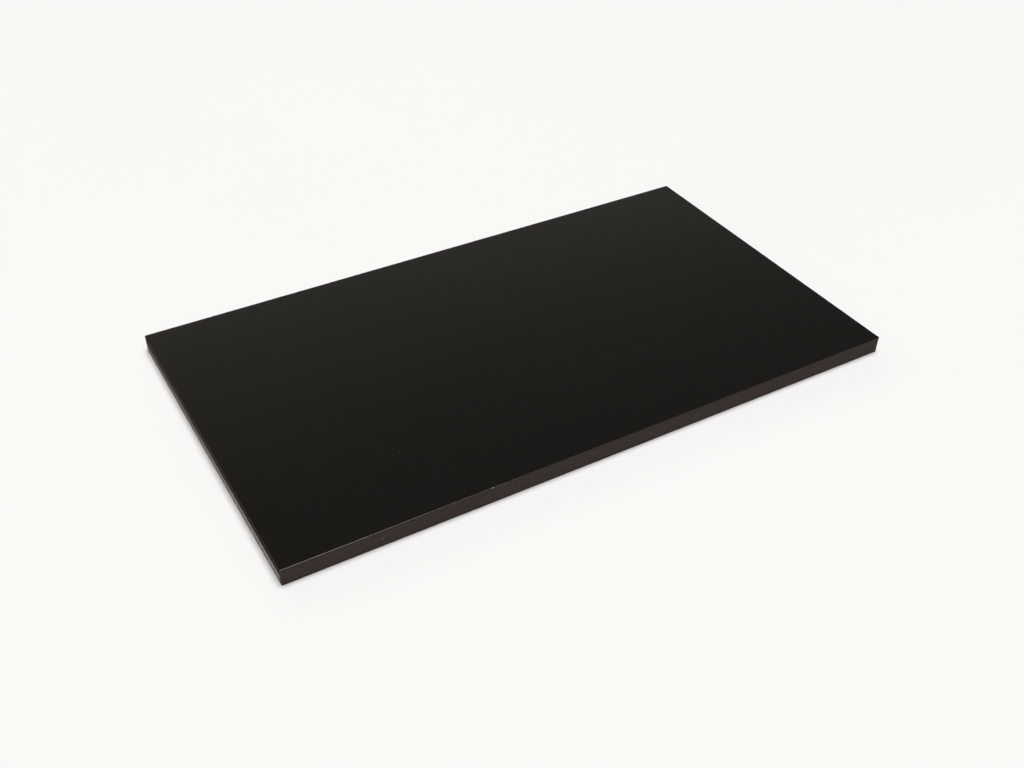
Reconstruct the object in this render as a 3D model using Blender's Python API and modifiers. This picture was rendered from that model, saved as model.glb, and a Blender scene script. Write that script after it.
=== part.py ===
"""Kick plate: a wood panel with plastic edge bands and a laminate sheet over each face.

The plate lies on its back face. X runs along its length, Y along its height on the door and Z out of
the door. The origin is the middle of the back face. Both laminates run out over the bands, so that the
show face is one plain black sheet up to its edge.
"""

import math

import bmesh
import bpy

# Driving dimensions, in metres.
LENGTH = 0.640
WIDTH = 0.360
THICKNESS = 0.0176
LAMINATE_THICKNESS = 0.0008
BAND_THICKNESS = 0.002
GLUE_LINE = 0.0003  # every glued joint leaves this gap between its two pieces
CORNER_RADIUS = 0.0012  # upright corners of the panel, eased by hand
RIM_RADIUS = 0.0004  # outer rim of each laminate, eased after it is trimmed flush
CORNER_SEGMENTS = 8
RIM_SEGMENTS = 4
SHARP_ANGLE = math.radians(35)

# What follows from them.
BAND_LOW = LAMINATE_THICKNESS + GLUE_LINE
BAND_HIGH = THICKNESS - BAND_LOW
HALF_LENGTH = LENGTH / 2
HALF_WIDTH = WIDTH / 2
CORE_HALF_LENGTH = HALF_LENGTH - BAND_THICKNESS - GLUE_LINE
CORE_HALF_WIDTH = HALF_WIDTH - BAND_THICKNESS - GLUE_LINE

# Colour, roughness and metallic value of each material.
FINISHES = {
    "particleboard": ((0.47, 0.33, 0.20), 0.9, 0.0),
    "black_laminate": ((0.012, 0.011, 0.010), 0.42, 0.0),
    "backing_laminate": ((0.020, 0.017, 0.014), 0.6, 0.0),
    "edge_band_abs": ((0.030, 0.022, 0.018), 0.38, 0.0),
}


def clear_scene():
    for obj in list(bpy.data.objects):
        bpy.data.objects.remove(obj, do_unlink=True)


def new_collection(name):
    collection = bpy.data.collections.new(name)
    bpy.context.scene.collection.children.link(collection)
    return collection


def material(name):
    """A Principled material, made once for each finish."""
    if name in bpy.data.materials:
        return bpy.data.materials[name]
    color, roughness, metallic = FINISHES[name]
    made = bpy.data.materials.new(name)
    made.use_nodes = True
    shader = made.node_tree.nodes["Principled BSDF"]
    shader.inputs["Base Color"].default_value = (*color, 1.0)
    shader.inputs["Roughness"].default_value = roughness
    shader.inputs["Metallic"].default_value = metallic
    return made


def rounded_outline(half_x, half_y, rounded_sides):
    """A rectangle's points, anticlockwise. A corner on a side in rounded_sides, -1 or 1 in Y, is an arc."""
    points = []
    for quarter, (side_x, side_y) in enumerate(((1, 1), (-1, 1), (-1, -1), (1, -1))):
        if side_y not in rounded_sides:
            points.append((side_x * half_x, side_y * half_y))
            continue
        centre_x = side_x * (half_x - CORNER_RADIUS)
        centre_y = side_y * (half_y - CORNER_RADIUS)
        for step in range(CORNER_SEGMENTS + 1):
            angle = math.radians(90) * (quarter + step / CORNER_SEGMENTS)
            along = centre_x + CORNER_RADIUS * math.cos(angle)
            across = centre_y + CORNER_RADIUS * math.sin(angle)
            points.append((along, across))
    return points


def slab(collection, name, outline, low, high, finish):
    """An outline in X and Y, extruded from height low to height high."""
    mesh = bpy.data.meshes.new(name)
    made = bmesh.new()
    base = made.faces.new([made.verts.new((x, y, low)) for x, y in outline])
    top = bmesh.ops.extrude_face_region(made, geom=[base])
    raised = [item for item in top["geom"] if isinstance(item, bmesh.types.BMVert)]
    bmesh.ops.translate(made, verts=raised, vec=(0.0, 0.0, high - low))
    bmesh.ops.recalc_face_normals(made, faces=made.faces)
    made.to_mesh(mesh)
    made.free()
    mesh.materials.append(material(finish))
    mesh.shade_smooth()
    mesh.set_sharp_from_angle(angle=SHARP_ANGLE)
    obj = bpy.data.objects.new(name, mesh)
    collection.objects.link(obj)
    return obj


def ease_rim(obj, height):
    """Rounds the edges that lie at the given height."""
    weights = obj.data.attributes.new("bevel_weight_edge", "FLOAT", "EDGE")
    for edge, weight in zip(obj.data.edges, weights.data):
        ends = [obj.data.vertices[index].co.z for index in edge.vertices]
        weight.value = float(all(abs(end - height) < 1e-6 for end in ends))
    bevel = obj.modifiers.new("eased_rim", "BEVEL")
    bevel.width = RIM_RADIUS
    bevel.segments = RIM_SEGMENTS
    bevel.limit_method = "WEIGHT"


def make_core(collection):
    """The particleboard that carries the plate."""
    outline = rounded_outline(CORE_HALF_LENGTH, CORE_HALF_WIDTH, ())
    return slab(collection, "core_board", outline, BAND_LOW, BAND_HIGH, "particleboard")


def make_laminates(collection):
    """The show sheet and the balancing sheet, each as large as the plate."""
    outline = rounded_outline(HALF_LENGTH, HALF_WIDTH, (-1, 1))
    face_low = THICKNESS - LAMINATE_THICKNESS
    face = slab(collection, "face_laminate", outline, face_low, THICKNESS, "black_laminate")
    ease_rim(face, THICKNESS)
    backing = slab(
        collection, "backing_laminate", outline, 0.0, LAMINATE_THICKNESS, "backing_laminate"
    )
    ease_rim(backing, 0.0)


def make_long_bands(collection):
    """The bands on the long edges. They also cover the ends of the two short bands."""
    for name, side in (("front", -1), ("back", 1)):
        outline = rounded_outline(HALF_LENGTH, BAND_THICKNESS / 2, (side,))
        band = slab(collection, name + "_edge_band", outline, BAND_LOW, BAND_HIGH, "edge_band_abs")
        band.location.y = side * (HALF_WIDTH - BAND_THICKNESS / 2)


def make_short_bands(collection):
    """The bands on the ends, between the two long bands."""
    for name, side in (("left", -1), ("right", 1)):
        outline = rounded_outline(BAND_THICKNESS / 2, CORE_HALF_WIDTH, ())
        band = slab(collection, name + "_edge_band", outline, BAND_LOW, BAND_HIGH, "edge_band_abs")
        band.location.x = side * (HALF_LENGTH - BAND_THICKNESS / 2)


def main():
    clear_scene()
    plate = new_collection("kick_plate")
    make_core(plate)
    make_laminates(plate)
    make_long_bands(plate)
    make_short_bands(plate)


main()
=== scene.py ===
"""The looks of the kick plate: a board with drawn plastic edge bands between two laminate sheets.

Everything is in metres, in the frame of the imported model. The plate lies on its back face, its front
long edge towards the camera. Each visible piece is remade finely in the place of its CAD solid.
"""

import math

import bmesh
import bpy
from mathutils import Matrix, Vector, noise


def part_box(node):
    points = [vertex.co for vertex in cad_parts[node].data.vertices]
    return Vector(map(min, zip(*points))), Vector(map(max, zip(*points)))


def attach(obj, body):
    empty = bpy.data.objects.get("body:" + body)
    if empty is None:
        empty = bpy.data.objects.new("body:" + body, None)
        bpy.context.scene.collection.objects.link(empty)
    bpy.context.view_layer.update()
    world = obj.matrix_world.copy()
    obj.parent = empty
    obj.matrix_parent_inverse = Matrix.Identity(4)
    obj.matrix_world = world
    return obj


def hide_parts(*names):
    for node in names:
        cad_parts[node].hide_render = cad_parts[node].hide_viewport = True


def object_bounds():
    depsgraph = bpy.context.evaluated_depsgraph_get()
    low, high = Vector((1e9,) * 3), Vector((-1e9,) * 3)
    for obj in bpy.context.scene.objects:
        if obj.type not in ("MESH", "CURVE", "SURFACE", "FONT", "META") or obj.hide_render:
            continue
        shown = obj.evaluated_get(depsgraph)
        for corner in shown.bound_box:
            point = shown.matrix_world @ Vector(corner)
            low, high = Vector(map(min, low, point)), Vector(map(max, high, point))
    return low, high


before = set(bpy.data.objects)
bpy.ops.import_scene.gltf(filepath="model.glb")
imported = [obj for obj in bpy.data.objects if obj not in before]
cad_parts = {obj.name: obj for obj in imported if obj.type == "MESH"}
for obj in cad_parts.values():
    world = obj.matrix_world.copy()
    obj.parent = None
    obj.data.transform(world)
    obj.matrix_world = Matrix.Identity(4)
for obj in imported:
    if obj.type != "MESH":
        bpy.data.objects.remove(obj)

# The plate's sizes, read from the frame.
LOW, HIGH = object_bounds()
HALF_LENGTH = HIGH.x
THICKNESS = HIGH.z
BAND_LOW, BAND_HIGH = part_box("front_edge_band")
SHORT_BAND_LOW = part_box("left_edge_band")[0]
FACE_SHEET_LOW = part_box("face_laminate")[0].z
BACKING_SHEET_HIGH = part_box("backing_laminate")[1].z

# Edges.
CORNER_RADIUS = 0.0012  # upright corners of the panel
RIM_RADIUS = 0.0007  # outer rim of each laminate, on its long sides
SHORT_RIM_RADIUS = 0.0002  # the same on its short sides
ROUNDING_SEGMENTS = 6
FLAT_FACE_WEIGHT = 100  # how strongly a large face keeps its own normal beside a rounding
BUTT_HAIRLINE = 0.00005  # what is left of the gap where a short band meets a long one

# Small unevenness of the shapes.
STATION_PITCH = 0.004  # spacing of the cross-sections along a band
BAND_WAVE = 0.00003  # how far a band's outer face wanders inwards
RIM_WAVE = 0.00004  # how far the hand that eased a rim wandered
CALM_END = 0.02  # a wander dies away over this distance from a corner
SLOW_WAVES = 30.0  # how often a wander turns in a metre
QUICK_WAVES = 210.0
QUICK_SHARE = 0.25
TELEGRAPH_DEPTH = 0.000012  # how far the chips of the core show through a laminate
TELEGRAPH_PITCH = 0.006
TELEGRAPH_SWELLS = 70.0  # how often they swell in a metre
GLUE_RECESS = 0.00012
GLUE_CLEARANCE = 0.00001
GLUE_LUMPINESS = 3.0  # how much faster the glue's edge wanders than a band does

# Each wandering line has a seed of its own.
SEED_STEP = 7.3
SHORT_BAND_SEED = 20.0
PAINTED_SHADE_SEED = 61.7
UPPER_GLUE_SEED = 3.1
LOWER_GLUE_SEED = 9.4

# One small knock on the front rim of the show face.
KNOCK_PLACE = -0.400 * HALF_LENGTH
KNOCK_REACH = 0.0008
KNOCK_DEPTH = 0.00025
KNOCK_SECTIONS = 3  # cross-sections on each side of its middle
KNOCK_COLOR = (0.48, 0.45, 0.41)

# The upper part of the left band is dull and painted darker: painted shade for the dim reflection along
# the top of that end.
PAINTED_SHADE_HEIGHT = 0.0082
PAINTED_SHADE_WANDER = 0.0012

# Single specks of dust on the show face (x, y) and on the front band (x, z).
FACE_SPECKS = ((0.655 * HALF_LENGTH, -0.723 * HIGH.y), (-0.045 * HALF_LENGTH, -0.012 * HIGH.y))
FACE_SPECK_RADIUS = 0.0006
FACE_SPECK_COLOR = (0.065, 0.045, 0.036)
FRONT_SPECK = (-0.7247 * HALF_LENGTH, 0.5 * THICKNESS)
FRONT_SPECK_RADIUS = 0.0007
FRONT_SPECK_COLOR = (0.50, 0.40, 0.36)

TINY = 1e-6
CUT_TOLERANCE = 1e-7

# The black laminate's face, and its brown-black trimmed edge.
LAMINATE_DARK = (0.0046, 0.0042, 0.0035)
LAMINATE_PALE = (0.0108, 0.0098, 0.0082)
LAMINATE_DUST = (0.10, 0.09, 0.08)
LAMINATE_SATIN = 0.22
LAMINATE_WIPING = 0.006  # how much wiping marks change the roughness
LAMINATE_SPECULAR = 0.20
LAMINATE_TINT = (1.0, 0.93, 0.84)
RIM_SPECULAR = 0.85
TRIM_DARK = (0.0070, 0.0052, 0.0042)
TRIM_PALE = (0.0120, 0.0092, 0.0076)
TRIM_SATIN = 0.95

# The plastic bands.
BAND_DARK = (0.0320, 0.0235, 0.0200)
BAND_PALE = (0.0970, 0.0740, 0.0655)
BAND_DUST = (0.14, 0.11, 0.10)
BAND_SHEEN_TINT = (1.0, 0.74, 0.48)
BAND_SHEEN_ROUGHNESS = 0.4
LONG_BAND_SATIN = 0.60
LONG_BAND_SPECULAR = 0.03
LONG_BAND_SHEEN = 0.0
SHORT_BAND_SATIN_NEAR = 0.18
SHORT_BAND_SATIN_FAR = 0.60
SHORT_BAND_SPECULAR = 0.10
SHORT_BAND_SHEEN = 0.16
# Painted shade: colours of the dull upper part of the left band, darker than the band itself.
PAINTED_SHADE_DARK = (0.0270, 0.0205, 0.0175)
PAINTED_SHADE_PALE = (0.0520, 0.0395, 0.0345)
PAINTED_SHADE_SATIN_LOW = 0.92
PAINTED_SHADE_SATIN_HIGH = 1.0
PAINTED_SHADE_SPECULAR = 0.05

# What lies behind them.
BACKING_DARK = (0.010, 0.0075, 0.0055)
BACKING_PALE = (0.040, 0.030, 0.022)
GLUE_DARK = (0.006, 0.0045, 0.0035)
GLUE_PALE = (0.013, 0.010, 0.008)
CHIP_DARK = (0.34, 0.20, 0.10)
CHIP_PALE = (0.60, 0.44, 0.27)
CHIP_FIBRE = (0.22, 0.13, 0.07)

# The studio.
FLOOR_RADIUS = 14.0
FLOOR_SEGMENTS = 96
FLOOR_DROP = 0.00002
FLOOR_DARK = (0.80, 0.795, 0.785)
FLOOR_PALE = (0.82, 0.817, 0.81)
FLOOR_SPECULAR = 0.2
ROOM_COLOR = (1.0, 0.95, 0.87)
ROOM_DIM = 0.04
ROOM_BRIGHT = 0.55
ROOM_SLOPE = (-0.10, 1.81, -1.84)  # how the room's light grows along X, Y and Z
ROOM_OFFSET = 0.016
PALE_WALL = (0.95, 0.945, 0.93)
OVERHEAD_FROM = (0.05, 0.0, 1.0)
OVERHEAD_STRENGTH = 3.48
GLEAM_FROM = (0.01, -0.6, 0.8)
GLEAM_STRENGTH = 3.75
LAMP_SPREAD = math.radians(36)
LAMP_COLOR = (1.0, 0.995, 0.985)

# The camera.
CAMERA_LENS = 40.843
CAMERA_SENSOR = 36.0
CAMERA_CLIP = (0.01, 60.0)
CAMERA_AZIMUTH = math.radians(-31.173)
CAMERA_ELEVATION = math.radians(38.145)
CAMERA_ROLL = math.radians(1.207)
CAMERA_DISTANCE = 1.0998
CAMERA_AIM = Vector((-0.0414, -0.0648, THICKNESS))


# ---------------------------------------------------------------- materials


class Graph:
    """A material's node tree, with short ways to add and join nodes."""

    def __init__(self, name):
        self.material = bpy.data.materials.new(name)
        self.material.use_nodes = True
        self.tree = self.material.node_tree
        self.shader = self.tree.nodes["Principled BSDF"]
        self.place = self.add("ShaderNodeTexCoord").outputs["Object"]

    def add(self, kind, **settings):
        node = self.tree.nodes.new(kind)
        for name, value in settings.items():
            setattr(node, name, value)
        return node

    def put(self, target, value):
        """Joins a socket to target, or sets target to a plain value."""
        if isinstance(value, bpy.types.NodeSocket):
            self.tree.links.new(value, target)
        else:
            target.default_value = value

    def calculate(self, operation, *values):
        node = self.add("ShaderNodeMath", operation=operation)
        for target, value in zip(node.inputs, values):
            self.put(target, value)
        return node.outputs[0]

    def weighted(self, *parts):
        """The sum of some values, each times its weight."""
        total = None
        for value, weight in parts:
            part = self.calculate("MULTIPLY", value, weight)
            total = part if total is None else self.calculate("ADD", total, part)
        return total

    def along(self, axis):
        """The object's coordinate on one axis."""
        split = self.add("ShaderNodeSeparateXYZ")
        self.put(split.inputs[0], self.place)
        return split.outputs[axis]

    def stretched(self, scale):
        """The object's coordinates, scaled by three factors."""
        node = self.add("ShaderNodeMapping")
        self.put(node.inputs["Vector"], self.place)
        node.inputs["Scale"].default_value = scale
        return node.outputs[0]

    def noise(self, scale=1.0, detail=2.0, roughness=0.5, at=None):
        node = self.add("ShaderNodeTexNoise")
        self.put(node.inputs["Vector"], at or self.place)
        node.inputs["Scale"].default_value = scale
        node.inputs["Detail"].default_value = detail
        node.inputs["Roughness"].default_value = roughness
        return node.outputs["Fac"]

    def ramp(self, value, low, high, from_low=0.0, from_high=1.0):
        """value's range from_low to from_high, spread smoothly over low to high."""
        node = self.add("ShaderNodeMapRange", interpolation_type="SMOOTHSTEP")
        limits = (value, from_low, from_high, low, high)
        for target, limit in zip(node.inputs, limits):
            self.put(target, limit)
        return node.outputs[0]

    def below(self, value, full, none):
        """A mask that is 1 up to full and fades to 0 at none."""
        return self.ramp(value, 1.0, 0.0, full, none)

    def mix(self, share, first, second):
        """A colour between first and second."""
        node = self.add("ShaderNodeMix", data_type="RGBA")
        self.put(node.inputs[0], share)
        self.put(node.inputs[6], first)
        self.put(node.inputs[7], second)
        return node.outputs[2]

    def spot(self, centre, radius):
        """A mask of one round spot."""
        node = self.add("ShaderNodeVectorMath", operation="DISTANCE")
        self.put(node.inputs[0], self.place)
        node.inputs[1].default_value = centre
        return self.below(node.outputs["Value"], radius * 0.5, radius)

    def specks(self, cells, reach, share):
        """A mask of rare round specks: share of the cells have one, reach of a cell across."""
        node = self.add("ShaderNodeTexVoronoi", voronoi_dimensions="2D")
        self.put(node.inputs["Vector"], self.place)
        node.inputs["Scale"].default_value = cells
        near = self.below(node.outputs["Distance"], reach * 0.5, reach)
        split = self.add("ShaderNodeSeparateColor")
        self.put(split.inputs[0], node.outputs["Color"])
        is_chosen = self.calculate("LESS_THAN", split.outputs[0], share)
        return self.calculate("MULTIPLY", near, is_chosen)

    def bump(self, height, distance, strength=1.0, under=None):
        node = self.add("ShaderNodeBump")
        node.inputs["Strength"].default_value = strength
        node.inputs["Distance"].default_value = distance
        self.put(node.inputs["Height"], height)
        if under is not None:
            self.put(node.inputs["Normal"], under)
        return node.outputs[0]

    def finish(self, color, roughness, normal, specular=0.5):
        self.put(self.shader.inputs["Base Color"], color)
        self.put(self.shader.inputs["Roughness"], roughness)
        self.put(self.shader.inputs["Normal"], normal)
        self.shader.inputs["Specular IOR Level"].default_value = specular
        return self.material


def rgba(color):
    return (*color, 1.0)


def trimmed_edge(graph):
    """A mask of the laminate's cut edge, below its rounded rim. The short sides have a smaller rim."""
    height = graph.along("Z")
    long_side = graph.below(height, THICKNESS - RIM_RADIUS, THICKNESS - RIM_RADIUS * 0.7)
    short_side = graph.below(height, THICKNESS - SHORT_RIM_RADIUS, THICKNESS - SHORT_RIM_RADIUS * 0.5)
    from_middle = graph.calculate("ABSOLUTE", graph.along("X"))
    at_end = graph.calculate("GREATER_THAN", from_middle, HALF_LENGTH - SHORT_RIM_RADIUS)
    return graph.calculate("MAXIMUM", long_side, graph.calculate("MULTIPLY", short_side, at_end))


def laminate_material(name, specular):
    """Satin black laminate: pearl texture, faint wiping marks, dust, and a dull trimmed edge."""
    graph = Graph(name)
    cloud = graph.noise(scale=9.0, detail=3.0)
    mottle = graph.noise(scale=240.0, detail=3.0)
    pearl = graph.noise(scale=1300.0, detail=1.0)
    tone = graph.weighted((cloud, 0.2), (mottle, 0.5), (pearl, 0.3))
    color = graph.mix(tone, rgba(LAMINATE_DARK), rgba(LAMINATE_PALE))
    dust = graph.specks(cells=45.0, reach=0.016, share=0.03)
    color = graph.mix(dust, color, rgba(LAMINATE_DUST))
    for x, y in FACE_SPECKS:
        speck = graph.spot((x, y, THICKNESS), FACE_SPECK_RADIUS)
        color = graph.mix(speck, color, rgba(FACE_SPECK_COLOR))
    trimmed = trimmed_edge(graph)
    layers = graph.noise(detail=3.0, at=graph.stretched((40.0, 40.0, 9000.0)))
    paper = graph.mix(layers, rgba(TRIM_DARK), rgba(TRIM_PALE))
    color = graph.mix(trimmed, color, paper)
    knock = graph.spot((KNOCK_PLACE, LOW.y, THICKNESS), KNOCK_REACH)
    color = graph.mix(knock, color, rgba(KNOCK_COLOR))
    wiped = graph.noise(detail=4.0, roughness=0.6, at=graph.stretched((14.0, 40.0, 14.0)))
    glossiest, dullest = LAMINATE_SATIN - LAMINATE_WIPING, LAMINATE_SATIN + LAMINATE_WIPING
    satin = graph.ramp(wiped, glossiest, dullest, from_low=0.3, from_high=0.7)
    satin = graph.calculate("ADD", satin, graph.calculate("MULTIPLY", pearl, 0.05))
    dull = graph.calculate("MULTIPLY", trimmed, TRIM_SATIN - LAMINATE_SATIN)
    normal = graph.bump(pearl, distance=0.00002, strength=0.3)
    graph.shader.inputs["Specular Tint"].default_value = rgba(LAMINATE_TINT)
    return graph.finish(color, graph.calculate("ADD", satin, dull), normal, specular)


def painted_shade_material():
    """Painted shade on the left band's upper part: darker than the band and dull, with fine scores along
    it.
    """
    graph = Graph("edge_band_painted_shade")
    scores = graph.noise(detail=4.0, roughness=0.7, at=graph.stretched((900.0, 12.0, 2600.0)))
    color = graph.mix(scores, rgba(PAINTED_SHADE_DARK), rgba(PAINTED_SHADE_PALE))
    satin = graph.ramp(scores, PAINTED_SHADE_SATIN_LOW, PAINTED_SHADE_SATIN_HIGH)
    normal = graph.bump(scores, distance=0.00006, strength=0.9)
    return graph.finish(color, satin, normal, PAINTED_SHADE_SPECULAR)


def band_material(name, satin_near, satin_far, specular, sheen):
    """Brown-black plastic band with fine lines drawn along it.

    Its roughness goes from satin_near at the plate's front to satin_far at its back.
    """
    graph = Graph(name)
    drawn = graph.noise(detail=3.0, at=graph.stretched((6.0, 6.0, 1500.0)))
    grain = graph.noise(scale=420.0, detail=3.0, roughness=0.7)
    tone = graph.weighted((drawn, 0.4), (grain, 0.6))
    color = graph.mix(tone, rgba(BAND_DARK), rgba(BAND_PALE))
    dust = graph.specks(cells=60.0, reach=0.02, share=0.05)
    color = graph.mix(dust, color, rgba(BAND_DUST))
    speck_x, speck_z = FRONT_SPECK
    speck = graph.spot((speck_x, LOW.y, speck_z), FRONT_SPECK_RADIUS)
    color = graph.mix(speck, color, rgba(FRONT_SPECK_COLOR))
    satin = graph.ramp(graph.along("Y"), satin_near, satin_far, LOW.y, HIGH.y)
    satin = graph.calculate("ADD", satin, graph.ramp(grain, -0.04, 0.04))
    lines = graph.bump(drawn, distance=0.00001, strength=0.5)
    normal = graph.bump(grain, distance=0.00002, strength=0.6, under=lines)
    graph.shader.inputs["Sheen Weight"].default_value = sheen
    graph.shader.inputs["Sheen Tint"].default_value = rgba(BAND_SHEEN_TINT)
    graph.shader.inputs["Sheen Roughness"].default_value = BAND_SHEEN_ROUGHNESS
    return graph.finish(color, satin, normal, specular)


def backing_material():
    """Dull brown-black phenolic sheet, sanded lengthways for the glue."""
    graph = Graph("backing_sanded")
    scratches = graph.noise(detail=4.0, roughness=0.65, at=graph.stretched((9.0, 1100.0, 9.0)))
    cloud = graph.noise(scale=14.0, detail=3.0)
    tone = graph.weighted((scratches, 0.7), (cloud, 0.3))
    color = graph.mix(tone, rgba(BACKING_DARK), rgba(BACKING_PALE))
    satin = graph.ramp(scratches, 0.48, 0.72, from_low=0.2, from_high=0.8)
    return graph.finish(color, satin, graph.bump(scratches, distance=0.00003, strength=0.6))


def glue_material():
    """Dark contact glue, slightly lumpy."""
    graph = Graph("contact_glue")
    lumps = graph.noise(scale=420.0, detail=2.0)
    color = graph.mix(lumps, rgba(GLUE_DARK), rgba(GLUE_PALE))
    satin = graph.ramp(lumps, 0.45, 0.6)
    return graph.finish(color, satin, graph.bump(lumps, distance=0.0001, strength=0.7))


def chip_material():
    """Pressed wood chips, flattened between the two faces."""
    graph = Graph("particleboard_chips")
    chips = graph.add("ShaderNodeTexVoronoi")
    graph.put(chips.inputs["Vector"], graph.stretched((260.0, 260.0, 700.0)))
    chips.inputs["Scale"].default_value = 1.0
    split = graph.add("ShaderNodeSeparateColor")
    graph.put(split.inputs[0], chips.outputs["Color"])
    fibre = graph.noise(scale=2600.0, detail=2.0)
    wood = graph.mix(split.outputs[0], rgba(CHIP_DARK), rgba(CHIP_PALE))
    color = graph.mix(graph.calculate("MULTIPLY", fibre, 0.5), wood, rgba(CHIP_FIBRE))
    height = graph.weighted((chips.outputs["Distance"], 1.0), (fibre, 0.3))
    satin = graph.ramp(fibre, 0.78, 0.95)
    return graph.finish(color, satin, graph.bump(height, distance=0.0003, strength=0.8))


def floor_material():
    """Pale matt paint, very slightly uneven."""
    graph = Graph("studio_floor")
    cloud = graph.noise(scale=1.3, detail=3.0)
    fine = graph.noise(scale=160.0, detail=2.0)
    color = graph.mix(cloud, rgba(FLOOR_DARK), rgba(FLOOR_PALE))
    satin = graph.ramp(fine, 0.62, 0.74)
    normal = graph.bump(fine, distance=0.0001, strength=0.2)
    return graph.finish(color, satin, normal, FLOOR_SPECULAR)


# ---------------------------------------------------------------- shape tools


def new_piece(name, made, material, slot, *nodes):
    """A piece of the plate that stands for CAD nodes and takes the given material. The slot is not used.
    """
    mesh = bpy.data.meshes.new(name)
    made.to_mesh(mesh)
    made.free()
    mesh.materials.append(material)
    piece = bpy.data.objects.new(name, mesh)
    bpy.context.scene.collection.objects.link(piece)
    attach(piece, "root")
    if nodes:
        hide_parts(*nodes)
    return piece


def box_bmesh(low, high):
    made = bmesh.new()
    bmesh.ops.create_cube(made, size=1.0)
    for vertex in made.verts:
        vertex.co = [a + (b - a) * (c + 0.5) for a, b, c in zip(low, high, vertex.co)]
    return made


def cut_across(made, axis, places):
    """Adds a cross-section at each place along an axis."""
    normal = Vector((0.0, 0.0, 0.0))
    normal[axis] = 1.0
    for place in places:
        everything = made.verts[:] + made.edges[:] + made.faces[:]
        point = normal * place
        bmesh.ops.bisect_plane(made, geom=everything, plane_co=point, plane_no=normal, dist=CUT_TOLERANCE)


def even_places(low, high, pitch):
    count = max(2, round((high - low) / pitch))
    return [low + (high - low) * step / count for step in range(1, count)]


def smooth_step(value):
    value = min(max(value, 0.0), 1.0)
    return value * value * (3 - 2 * value)


def wander(along, seed):
    """A slow wander along an edge, from 0 to 1."""
    slow = noise.noise(Vector((along * SLOW_WAVES, seed, 0.5)))
    quick = noise.noise(Vector((along * QUICK_WAVES, seed, 4.5)))
    return min(max(0.5 + 0.5 * slow + QUICK_SHARE * quick, 0.0), 1.0)


def weigh(made, share_of):
    """Gives each edge the share of the rounding that share_of returns for its two ends."""
    layer = made.edges.layers.float.new("bevel_weight_edge")
    for edge in made.edges:
        edge[layer] = share_of(edge.verts[0].co, edge.verts[1].co)


def soften(piece, rounding_material=None):
    """Rounds the weighted edges and keeps the flats flat in the shading."""
    bevel = piece.modifiers.new("rounded_edges", "BEVEL")
    if rounding_material:
        piece.data.materials.append(rounding_material)
        bevel.material = 1
    bevel.width = CORNER_RADIUS
    bevel.segments = ROUNDING_SEGMENTS
    bevel.limit_method = "WEIGHT"
    piece.data.shade_smooth()
    shading = piece.modifiers.new("flat_faces", "WEIGHTED_NORMAL")
    shading.keep_sharp = True
    shading.weight = FLAT_FACE_WEIGHT


def is_upright(first, second):
    return abs(first.z - second.z) > TINY and (first.xy - second.xy).length < TINY


def at_corner(point, low, high):
    from_end = min(point.x - low.x, high.x - point.x)
    from_side = min(point.y - low.y, high.y - point.y)
    return from_end < TINY and from_side < TINY


# ---------------------------------------------------------------- pieces


def mark_painted_shade(made, along):
    """Gives a band's faces above a wandering line the second material, the painted shade."""
    painted_shade_low = THICKNESS - PAINTED_SHADE_HEIGHT
    cut_across(made, 2, (painted_shade_low,))
    for face in made.faces:
        face.material_index = int(face.calc_center_median().z > painted_shade_low)
    for vertex in made.verts:
        if abs(vertex.co.z - painted_shade_low) < TINY:
            vertex.co.z += PAINTED_SHADE_WANDER * (wander(vertex.co[along], PAINTED_SHADE_SEED) - 0.5)


def make_band(name, low, high, along, outer, seed, material, painted_shade=None):
    """One band. along is the axis it runs on, and outer is the side, -1 or 1, that it faces across it."""
    across = 1 - along
    outer_place = high[across] if outer > 0 else low[across]
    made = box_bmesh(low, high)
    cut_across(made, along, even_places(low[along], high[along], STATION_PITCH))
    if painted_shade:
        mark_painted_shade(made, along)

    def on_outer(point):
        return abs(point[across] - outer_place) < TINY

    def share_of(first, second):
        covers_corner = along == 0 and at_corner(first, low, high) and on_outer(first)
        return float(covers_corner and is_upright(first, second))

    weigh(made, share_of)
    for vertex in made.verts:
        from_end = min(vertex.co[along] - low[along], high[along] - vertex.co[along])
        if on_outer(vertex.co):
            waviness = wander(vertex.co[along], seed + vertex.co.z)
            vertex.co[across] -= outer * BAND_WAVE * smooth_step(from_end / CALM_END) * waviness
    piece = new_piece(name + "_drawn", made, material, "edge_band_abs", name)
    if painted_shade:
        piece.data.materials.append(painted_shade)
    soften(piece)


def make_long_bands():
    """The bands on the long edges. Their ends are rounded with the panel's corners."""
    material = band_material(
        "long_band_drawn", LONG_BAND_SATIN, LONG_BAND_SATIN, LONG_BAND_SPECULAR, LONG_BAND_SHEEN
    )
    for turn, name in enumerate(("front_edge_band", "back_edge_band")):
        low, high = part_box(name)
        outer = 1 if high.y > 0 else -1
        make_band(name, low, high, 0, outer, turn * SEED_STEP, material)


def make_short_bands():
    """The bands on the ends, butted against the long ones. The upper part of the left one carries painted
    shade.
    """
    material = band_material(
        "short_band_drawn",
        SHORT_BAND_SATIN_NEAR,
        SHORT_BAND_SATIN_FAR,
        SHORT_BAND_SPECULAR,
        SHORT_BAND_SHEEN,
    )
    reach = Vector((0.0, SHORT_BAND_LOW.y - BAND_HIGH.y - BUTT_HAIRLINE, 0.0))
    for turn, name in enumerate(("left_edge_band", "right_edge_band")):
        low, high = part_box(name)
        is_left = high.x < 0
        outer = -1 if is_left else 1
        painted_shade = painted_shade_material() if is_left else None
        seed = SHORT_BAND_SEED + turn * SEED_STEP
        make_band(name, low - reach, high + reach, 1, outer, seed, material, painted_shade)


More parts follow.
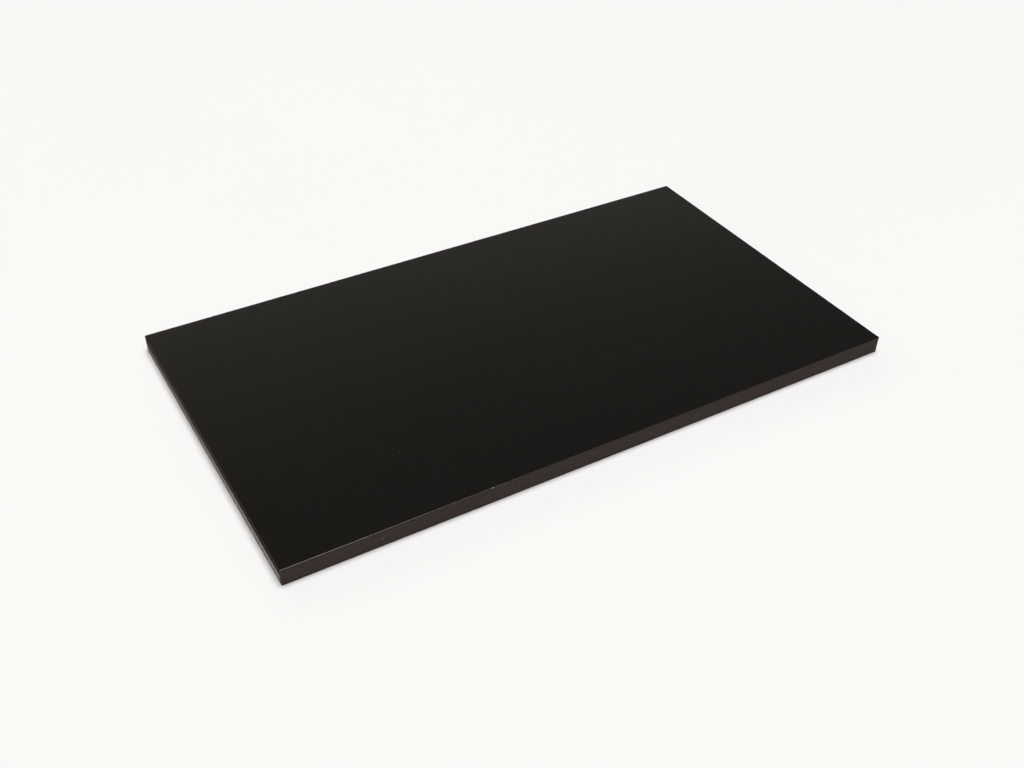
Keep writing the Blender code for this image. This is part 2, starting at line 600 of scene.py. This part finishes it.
def make_sheet(name, node, pitch, outer, slot, material, rim_material=None):
    """A laminate sheet whose outer face shows a trace of the chips beneath it."""
    low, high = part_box(node)
    made = box_bmesh(low, high)
    places = even_places(low.x, high.x, pitch)
    if outer > 0:
        steps = range(-KNOCK_SECTIONS, KNOCK_SECTIONS + 1)
        places += [KNOCK_PLACE + KNOCK_REACH * step / KNOCK_SECTIONS for step in steps]
    cut_across(made, 0, sorted(places))
    cut_across(made, 1, even_places(low.y, high.y, pitch))
    surface = high.z if outer > 0 else low.z

    def on_rim(point):
        return min(point.x - low.x, high.x - point.x, point.y - low.y, high.y - point.y) < TINY

    def on_surface(point):
        return abs(point.z - surface) < TINY

    def share_of(first, second):
        if is_upright(first, second):
            return float(at_corner(first, low, high))
        is_outer_rim = all(on_rim(point) and on_surface(point) for point in (first, second))
        radius = SHORT_RIM_RADIUS if abs(first.x - second.x) < TINY else RIM_RADIUS
        return radius / CORNER_RADIUS if is_outer_rim else 0.0

    def swell_depth(point):
        swell = noise.noise(Vector((point.x * TELEGRAPH_SWELLS, point.y * TELEGRAPH_SWELLS, 1.5)))
        return TELEGRAPH_DEPTH * (0.5 + 0.5 * swell)

    def rim_depth(point):
        from_corner = max(HALF_LENGTH - abs(point.x), HIGH.y - abs(point.y))
        depth = RIM_WAVE * smooth_step(from_corner / CALM_END) * wander(point.x + point.y, outer)
        if outer > 0 and point.y - low.y < TINY:
            away = abs(point.x - KNOCK_PLACE) / KNOCK_REACH
            depth += KNOCK_DEPTH * smooth_step(1.0 - away)
        return depth

    weigh(made, share_of)
    for vertex in made.verts:
        if on_surface(vertex.co):
            depth_of = rim_depth if on_rim(vertex.co) else swell_depth
            vertex.co.z -= outer * depth_of(vertex.co)
    piece = new_piece(name, made, material, slot, node)
    soften(piece, rim_material)


def make_sheets():
    face = laminate_material("black_laminate_satin", LAMINATE_SPECULAR)
    rim = laminate_material("black_laminate_rim", RIM_SPECULAR)
    make_sheet("face_laminate_sheet", "face_laminate", TELEGRAPH_PITCH, 1, "black_laminate", face, rim)
    back = backing_material()
    pitch = 2 * TELEGRAPH_PITCH
    make_sheet("backing_laminate_sheet", "backing_laminate", pitch, -1, "backing_laminate", back)


def make_glue_film(name, low_z, high_z, seed, material):
    """The glue under a laminate. Its edge shows as a fine dark line above or below the bands."""
    low = Vector((LOW.x + GLUE_RECESS, LOW.y + GLUE_RECESS, low_z + GLUE_CLEARANCE))
    high = Vector((HIGH.x - GLUE_RECESS, HIGH.y - GLUE_RECESS, high_z - GLUE_CLEARANCE))
    made = box_bmesh(low, high)
    for axis in (0, 1):
        cut_across(made, axis, even_places(low[axis], high[axis], 2 * STATION_PITCH))
    weigh(made, lambda first, second: float(is_upright(first, second) and at_corner(first, low, high)))
    for vertex in made.verts:
        inward = Vector((0.0, 0.0, 0.0))
        for axis in (0, 1):
            if min(vertex.co[axis] - low[axis], high[axis] - vertex.co[axis]) < TINY:
                inward[axis] = -math.copysign(1.0, vertex.co[axis])
        if not at_corner(vertex.co, low, high):
            along = vertex.co.x * GLUE_LUMPINESS + vertex.co.y * GLUE_LUMPINESS
            vertex.co += inward * GLUE_RECESS * wander(along, seed)
    soften(new_piece(name, made, material, "edge_band_abs"))


def make_glue():
    material = glue_material()
    make_glue_film("glue_film_upper", BAND_HIGH.z, FACE_SHEET_LOW, UPPER_GLUE_SEED, material)
    make_glue_film("glue_film_lower", BACKING_SHEET_HIGH, BAND_LOW.z, LOWER_GLUE_SEED, material)


def finish_core():
    """The core keeps its CAD solid and gets its chips."""
    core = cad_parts["core_board"]
    core.data.materials.clear()
    core.data.materials.append(chip_material())


# ---------------------------------------------------------------- stage


def make_floor():
    made = bmesh.new()
    bmesh.ops.create_circle(made, cap_ends=True, segments=FLOOR_SEGMENTS, radius=FLOOR_RADIUS)
    mesh = bpy.data.meshes.new("floor")
    made.to_mesh(mesh)
    made.free()
    floor = bpy.data.objects.new("floor", mesh)
    bpy.context.scene.collection.objects.link(floor)
    mesh.materials.append(floor_material())
    floor.location.z = -FLOOR_DROP


def make_lamp(name, source, strength):
    """A large soft lamp, so far off that it lights everything evenly."""
    lamp = bpy.data.lights.new(name, "SUN")
    lamp.angle = LAMP_SPREAD
    lamp.energy = strength
    lamp.color = LAMP_COLOR
    light = bpy.data.objects.new(name, lamp)
    bpy.context.scene.collection.objects.link(light)
    light.rotation_euler = Vector(source).to_track_quat("Z", "Y").to_euler()
    return light


def make_lamps():
    """One lamp overhead gives the light. One in front only gleams on what is glossy."""
    overhead = make_lamp("overhead", OVERHEAD_FROM, OVERHEAD_STRENGTH)
    overhead.visible_glossy = False
    gleam = make_lamp("gleam", GLEAM_FROM, GLEAM_STRENGTH)
    gleam.visible_diffuse = False


def make_world():
    """A dim room with a paler wall behind the plate.

    The camera itself sees it as pale as the floor, so that the floor has no far edge.
    """
    world = bpy.data.worlds.new("studio")
    bpy.context.scene.world = world
    world.use_nodes = True
    nodes, links = world.node_tree.nodes, world.node_tree.links
    room = nodes["Background"]
    room.inputs["Color"].default_value = rgba(ROOM_COLOR)
    place = nodes.new("ShaderNodeTexCoord")
    wall = nodes.new("ShaderNodeVectorMath")
    wall.operation = "DOT_PRODUCT"
    links.new(place.outputs["Generated"], wall.inputs[0])
    wall.inputs[1].default_value = ROOM_SLOPE
    fade = nodes.new("ShaderNodeMapRange")
    links.new(wall.outputs["Value"], fade.inputs["Value"])
    fade.inputs["From Min"].default_value = ROOM_DIM - ROOM_OFFSET
    fade.inputs["From Max"].default_value = ROOM_BRIGHT - ROOM_OFFSET
    fade.inputs["To Min"].default_value = ROOM_DIM
    fade.inputs["To Max"].default_value = ROOM_BRIGHT
    links.new(fade.outputs[0], room.inputs["Strength"])
    pale = nodes.new("ShaderNodeBackground")
    pale.inputs["Color"].default_value = rgba(PALE_WALL)
    either = nodes.new("ShaderNodeMixShader")
    path = nodes.new("ShaderNodeLightPath")
    links.new(path.outputs["Is Camera Ray"], either.inputs[0])
    links.new(room.outputs[0], either.inputs[1])
    links.new(pale.outputs[0], either.inputs[2])
    links.new(either.outputs[0], nodes["World Output"].inputs["Surface"])


def make_camera():
    lens = bpy.data.cameras.new("camera")
    lens.lens = CAMERA_LENS
    lens.sensor_width = CAMERA_SENSOR
    lens.clip_start, lens.clip_end = CAMERA_CLIP
    camera = bpy.data.objects.new("camera", lens)
    bpy.context.scene.collection.objects.link(camera)
    flat = math.cos(CAMERA_ELEVATION)
    sideways = math.sin(CAMERA_AZIMUTH) * flat
    forwards = math.cos(CAMERA_AZIMUTH) * flat
    back = Vector((sideways, -forwards, math.sin(CAMERA_ELEVATION)))
    camera.location = CAMERA_AIM + back * CAMERA_DISTANCE
    camera.rotation_euler = (-back).to_track_quat("-Z", "Y").to_euler()
    camera.rotation_euler.rotate_axis("Z", CAMERA_ROLL)
    bpy.context.scene.camera = camera


def make_stage():
    make_floor()
    make_world()
    make_lamps()
    make_camera()
    bpy.context.scene.view_settings.view_transform = "Standard"


make_long_bands()
make_short_bands()
make_sheets()
make_glue()
finish_core()
make_stage()
